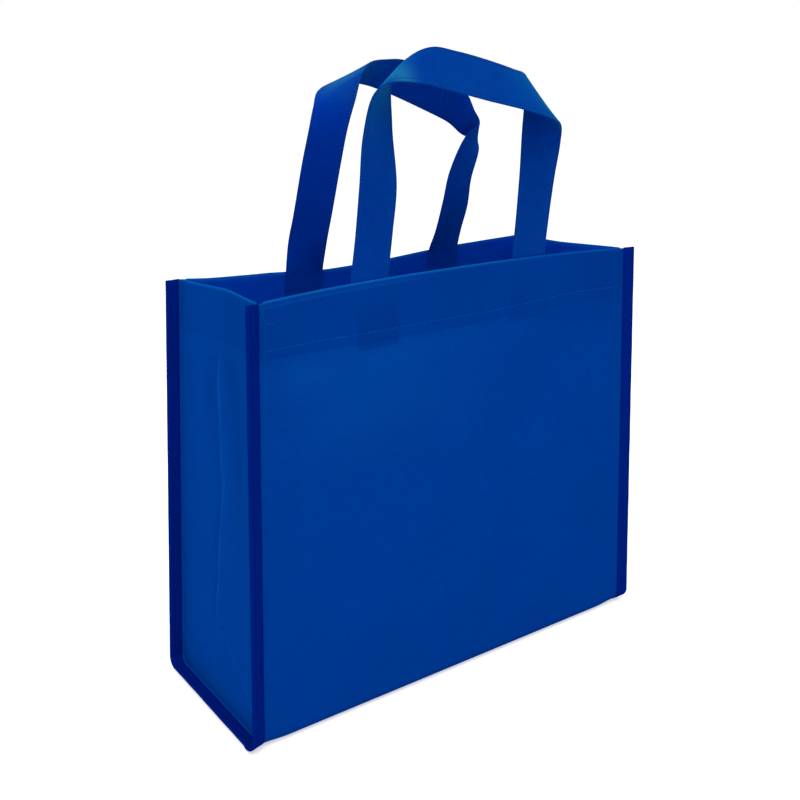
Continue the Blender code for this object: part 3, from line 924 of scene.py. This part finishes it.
class Strap:
    """A strap's middle surface, which its cloth and its stitches follow."""

    def __init__(self, face, spacing, rise, crossings):
        self.low, self.high = strap_edges(face, spacing, rise, crossings, 12)
        middle = (self.low + self.high) / 2
        steps = np.linalg.norm(np.diff(middle, axis=0), axis=1)
        self.length = np.concatenate([[0], np.cumsum(steps)])

    def surface(self, share):
        """Points and unit normals at shares of the width, one row per step along."""
        share = np.atleast_1d(share)[None, :, None]
        points = self.low[:, None] * (1 - share) + self.high[:, None] * share
        along = np.gradient(points, axis=0)
        across = (self.high - self.low)[:, None] + 0 * points
        normal = np.cross(along, across)
        return points, normal / np.linalg.norm(normal, axis=-1, keepdims=True)


def strap_profile():
    """Half of a strap's section: share of the width, and half thickness there.

    The edge is round, the stitches draw a groove beside it, and the rest puffs a little.
    """
    width, half = STRAP_WIDTH, STRAP_THICKNESS / 2
    angles = np.radians([12, 34, 56, 78])
    edge = half * (1 - np.cos(angles)) * 1.3
    edge_lift = half * np.sin(angles)
    inner = np.concatenate([np.linspace(0.0011, 0.0050, 7), np.linspace(0.0066, width / 2, 5)])
    groove = 0.00030 * bump_line(inner - STRAP_STITCH, 0.0007)
    puff = 0.00010 * np.sin(np.clip(inner / width, 0, 1) * math.pi)
    distance = np.concatenate([edge, inner])
    lift = np.concatenate([edge_lift, half - groove + puff])
    share = np.concatenate([distance, width - distance[-2::-1]]) / width
    return share, np.concatenate([lift, lift[-2::-1]])


def make_strap(name, node, strap, material, fold):
    """A strap of folded cloth, flat where it is sewn and a little puffed between.

    A highlight is painted where it turns over its upper left fold and faces up.
    """
    share, lift = strap_profile()
    points, normals = strap.surface(share)
    along = strap.length[:, None]
    beside_stitches = bump_line(share * STRAP_WIDTH - STRAP_STITCH, 0.002)
    pucker = 1 + 0.10 * np.sin(along / 0.00095) * beside_stitches
    ends = np.minimum(1, np.minimum(along, along[-1] - along) / 0.0009 + 0.25)
    lift = lift[None, :] * pucker * ends
    top = points + normals * lift[..., None]
    under = points - normals * lift[..., None]
    loop = np.concatenate([top, under[:, ::-1]], 1)
    rows, columns = loop.shape[:2]
    u = share * STRAP_WIDTH
    u = np.concatenate([u, u[::-1] + 2 * STRAP_WIDTH]) + 0 * along
    v = along + 0 * u
    faces = grid_faces(rows, columns, closed=True)
    # Painted highlight: lighter where the strap faces up, high near its upper left fold.
    facing_up = 0.3 + 0.7 * ease((np.abs(normals[..., 2]) - 0.35) / 0.35)
    high_up = ease((points[..., 2] - 0.425) / 0.025)
    fold_at, fold_reach = fold
    painted_highlight_and_whitening = facing_up * high_up * bump_line(points[..., 0] - fold_at, fold_reach)
    marks = {"painted_highlight_and_whitening": np.concatenate([painted_highlight_and_whitening, painted_highlight_and_whitening[:, ::-1]], 1)}
    piece = mesh_piece(name, loop, faces, np.stack([u, v], -1), material, marks)
    close_ends(piece.data)
    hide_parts(node)


def close_ends(data):
    """Closes the two cut ends of a strap."""
    mesh = bmesh.new()
    mesh.from_mesh(data)
    bmesh.ops.holes_fill(mesh, edges=[edge for edge in mesh.edges if edge.is_boundary], sides=0)
    bmesh.ops.recalc_face_normals(mesh, faces=mesh.faces)
    mesh.to_mesh(data)
    mesh.free()


# Sewing


def stitches(name, rows, material, stitch=STITCH, radius=THREAD_RADIUS):
    """Rows of small stitches; each row is its points and the surface's normals.

    Each stitch is a small five-sided tube that dips into the cloth at both ends.
    """
    circle = np.linspace(0, 2 * math.pi, 5, endpoint=False)
    reach = np.array([-0.5, -0.36, 0, 0.36, 0.5]) * stitch * 0.84
    height = np.array([-0.9, 0.25, 0.55, 0.25, -0.9]) * radius
    thick = np.array([0.45, 0.9, 1, 0.9, 0.45]) * radius
    sides, rings = len(circle), len(reach)

    def at(place, length, values):
        return np.array([np.interp(place, length, values[:, k]) for k in range(3)])

    points = []
    for way, normals in rows:
        steps = np.linalg.norm(np.diff(way, axis=0), axis=1)
        length = np.concatenate([[0], np.cumsum(steps)])
        count = int(length[-1] / stitch)
        for centre in (np.arange(count) + 0.5) * length[-1] / count:
            place = at(centre, length, way)
            along = at(centre + 0.001, length, way) - at(centre - 0.001, length, way)
            along = along / np.linalg.norm(along)
            up = at(centre, length, normals)
            up = up - along * up.dot(along)
            up /= np.linalg.norm(up)
            across = np.cross(along, up)
            ring = np.outer(np.cos(circle), across) + np.outer(np.sin(circle), up)
            for k in range(rings):
                points.append(place + along * reach[k] + up * height[k] + ring * thick[k])
    points = np.array(points)
    tube = grid_faces(rings, sides, closed=True)
    starts = np.arange(len(points) // rings)[:, None, None] * rings * sides
    faces = (tube[None] + starts).reshape(-1, 4)
    flat = np.zeros((len(points) * sides, 2))
    mesh_piece(name, points, faces, flat, material)


def wall_line(face, lift):
    """The line of a wall's hem stitches, lifted off the cloth's middle."""
    reach = MOUTH_WIDTH / 2 - 0.002
    x = np.linspace(-reach, reach, 400)
    z = BAG_HEIGHT - hem_depths(face, x)[0]
    points = relax(np.stack([x, face * (half_depth(z) + lift), z], -1))
    outward = np.array([0, face * (1 if lift > 0 else -1), 0.0])
    return points, np.tile(outward, (len(x), 1))


def side_line(side, lift):
    """The line of a side cloth's hem stitches, from front to back."""
    z = BAG_HEIGHT - HEM_STITCH_DEPTH
    middle_height, valley = middle_line(z)
    inward = np.linspace(0.04, 1, 80)
    shares = np.concatenate([inward, inward[::-1][1:]])
    y = half_depth(z) * (1 - shares) * np.where(np.arange(len(shares)) < len(inward), -1.0, 1.0)
    height = z + (middle_height - z) * shares
    sunk = valley * sinking(shares)
    x = half_width(z) - SIDE_HEM_INSET - sunk - side_relief(side, y, height) + lift
    points = relax(np.stack([side * x, y, height], -1))
    outward = np.array([side * (1.0 if lift > 0 else -1.0), 0, 0])
    return points, np.tile(outward, (len(x), 1))


def make_hem_stitching(material):
    """The straight stitching that holds the folded hem, inside and out."""
    lifts = (FABRIC_THICKNESS / 2, -(LAYER_STEP + FABRIC_THICKNESS / 2))
    rows = [wall_line(face, lift) for face in (FRONT, BACK) for lift in lifts]
    rows += [side_line(side, lift) for side in (LEFT, RIGHT) for lift in lifts]
    stitches("hem_stitching", rows, material, radius=HEM_THREAD_RADIUS)


def make_thread_end(material):
    """A short end of the hem's thread that hangs free beside the left seam."""
    x, z = np.array(LOOSE_THREAD_ACROSS), np.array(LOOSE_THREAD_UP)
    y = -half_depth(z) - LOOSE_THREAD_LIFT
    way = relax(smooth_through(np.stack([x, y, z], -1), 5))
    rows = [(way, np.tile([0, -1.0, 0], (len(way), 1)))]
    stitches(
        "hem_thread_end", rows, material, LOOSE_THREAD_STEP, LOOSE_THREAD_RADIUS
    )


def make_tape_stitching(side, name, material):
    """The stitching through the folded tape, seen on both of its faces."""
    path = tape_path(side)
    space = FABRIC_THICKNESS / 2 + TAPE_GAP + TAPE_THICKNESS
    rows = []
    for sign in (1, -1):
        lift = -LAYER_STEP / 2 + sign * (space + LAYER_STEP / 2 - HEM_THREAD_RADIUS)
        out = np.full((1, 1), TAPE_STITCH)
        points = relax(path.on_allowance(out, lift))[:, 0]
        base = relax(path.on_allowance(out, lift - sign * 0.001))[:, 0]
        rows.append((points, points - base))
    stitches(name, rows, material)


def make_strap_stitching(name, strap, material):
    """The two rows of stitching along a strap, on both of its faces."""
    rows = []
    half = STRAP_THICKNESS / 2 - THREAD_RADIUS
    for distance in (STRAP_STITCH, STRAP_WIDTH - STRAP_STITCH):
        points, normals = strap.surface(distance / STRAP_WIDTH)
        for sign in (1, -1):
            rows.append((points[:, 0] + sign * half * normals[:, 0], sign * normals[:, 0]))
    stitches(name, rows, material, stitch=STRAP_STITCH_LENGTH)


# Studio


def make_air():
    """Soft light all round, which looks plain white to the camera."""
    world = bpy.data.worlds.new("studio_air")
    bpy.context.scene.world = world
    world.use_nodes = True
    tree = world.node_tree
    tree.nodes.clear()
    seen = put(tree, "LightPath")
    rays = {0: seen["Is Camera Ray"], 1: seen["Is Glossy Ray"]}
    clear = put(tree, "Math", rays, operation="MAXIMUM")[0]
    rays = {0: clear, 1: seen["Is Transmission Ray"]}
    clear = put(tree, "Math", rays, operation="MAXIMUM")[0]
    light = put(tree, "Background", {"Color": WHITE, "Strength": AIR_LIGHT})[0]
    white = put(tree, "Background", {"Color": WHITE, "Strength": 1.0})[0]
    both = put(tree, "MixShader", {0: clear, 1: light, 2: white})[0]
    put(tree, "OutputWorld", {"Surface": both})


def make_floor():
    """White card, which glows a little to the camera so that it meets the white air."""
    material, tree = new_material("white_card")
    card = put(tree, "BsdfDiffuse", {"Color": linear("#f4f4f4")})[0]
    glow = put(tree, "Emission", {"Color": WHITE, "Strength": FLOOR_GLOW})[0]
    lit = put(tree, "AddShader", {0: card, 1: glow})[0]
    seen = put(tree, "LightPath")
    plain_card = put(tree, "MixShader", {0: seen["Is Camera Ray"], 1: card, 2: lit})[0]
    put(tree, "OutputMaterial", {"Surface": plain_card})
    data = bpy.data.meshes.new("floor")
    signs = ((-1, -1), (1, -1), (1, 1), (-1, 1))
    corners = [(FLOOR_REACH * a, FLOOR_REACH * b, FLOOR_LEVEL) for a, b in signs]
    data.from_pydata(corners, [], [(0, 1, 2, 3)])
    data.materials.append(material)
    floor = bpy.data.objects.new("floor", data)
    bpy.context.scene.collection.objects.link(floor)


def make_lamp():
    """A large soft lamp, above and in front of the bag."""
    lamp = bpy.data.lights.new("soft_lamp", "AREA")
    lamp.shape = "DISK"
    lamp.size = LAMP_SIZE
    lamp.energy = LAMP_WATTS
    lamp_object = bpy.data.objects.new("soft_lamp", lamp)
    lamp_object.location = LAMP_PLACE
    x, y, z = np.array(LAMP_AIM) - np.array(lamp_object.location)
    tilt, heading = math.atan2(math.hypot(x, y), -z), math.atan2(y, x) - math.pi / 2
    lamp_object.rotation_euler = (tilt, 0, heading)
    bpy.context.scene.collection.objects.link(lamp_object)


def make_camera():
    """The camera that stands where the photo's stood."""
    data = bpy.data.cameras.new("camera")
    data.sensor_width = 36
    data.lens = LENS
    data.shift_x, data.shift_y = LENS_SHIFT
    data.clip_start = 0.01
    camera = bpy.data.objects.new("camera", data)
    camera.location = CAMERA_PLACE
    camera.rotation_euler = (CAMERA_TILT, 0, CAMERA_HEADING)
    bpy.context.scene.collection.objects.link(camera)
    bpy.context.scene.camera = camera


bpy.context.scene.view_settings.view_transform = "Standard"
make_camera()
make_air()
make_floor()
make_lamp()

# Polypropylene spun into a web and hot-pressed with a lozenge grid, dyed royal blue.
# It looks matt, with faintly deeper pressed points and soft clouds of fibre.
body_finish = spunbond(
    "embossed_spunbond_polypropylene", "#0040a0", "#00307c", "#002b79", contrast=0.6
)
# The same cloth on the two sides, in a lighter copy that paints in more light there.
side_finish = spunbond(
    "embossed_spunbond_polypropylene_sides", "#0046a8", "#003685", "#002f7c", contrast=0.6
)
# The inner face of that cloth, where the light bounces between the walls.
lining_finish = spunbond(
    "inner_face_of_spunbond_polypropylene", "#0049c8", "#003ab2", "#0034ac", contrast=0.6
)
# Binding tape cut from a navy spunbond polypropylene: deep blue and plain matt.
tape_finish = spunbond("navy_spunbond_tape", "#002284", "#00186e", "#00186e", roughness=0.8)
# Straps folded from spunbond polypropylene with a ribbed pressing. Their fibres catch
# the light from the side, and a painted highlight makes them paler where the strap turns over.
strap_finish = spunbond(
    "ribbed_spunbond_strap", "#00399b", "#002781", "#00288a",
    ribs=0.7, roughness=0.75, sheen=0.32, painted_highlight_and_whitening="#165f98",
)
# The back strap is the same cloth; it stands in the front one's shade and looks deeper.
back_strap_finish = spunbond(
    "ribbed_spunbond_back_strap", "#0037a4", "#002790", "#002594",
    ribs=0.7, roughness=0.75, sheen=0.17, painted_highlight_and_whitening="#185a9c",
)
# Spun polyester thread: matt royal blue on the hem, deeper on the straps, navy on the tape.
thread_finish = sewing_thread("polyester_thread", "#0056ac", "#0a64b8")
strap_thread_finish = sewing_thread("polyester_thread_of_straps", "#0040a0", "#064a9e")
tape_thread_finish = sewing_thread("navy_polyester_thread", "#001c78", "#002a88")

make_body_cloth(body_finish, lining_finish)
make_side_cloth(LEFT, "side_cloth_left", "side_panel_left", side_finish, lining_finish)
make_side_cloth(RIGHT, "side_cloth_right", "side_panel_right", side_finish, lining_finish)
make_binding(LEFT, "seam_tape_left", "binding_left", tape_finish)
make_binding(RIGHT, "seam_tape_right", "binding_right", tape_finish)
front_strap = Strap(FRONT, FRONT_SPACING, FRONT_RISE, FRONT_CROSSINGS)
back_strap = Strap(BACK, BACK_SPACING, BACK_RISE, BACK_CROSSINGS)
make_strap("strap_front", "handle_front", front_strap, strap_finish, FRONT_STRAP_FOLD_HIGHLIGHT)
make_strap("strap_back", "handle_back", back_strap, back_strap_finish, BACK_STRAP_FOLD_HIGHLIGHT)
make_hem_stitching(thread_finish)
make_thread_end(thread_finish)
make_tape_stitching(LEFT, "tape_stitching_left", tape_thread_finish)
make_tape_stitching(RIGHT, "tape_stitching_right", tape_thread_finish)
make_strap_stitching("strap_front_stitching", front_strap, strap_thread_finish)
make_strap_stitching("strap_back_stitching", back_strap, strap_thread_finish)
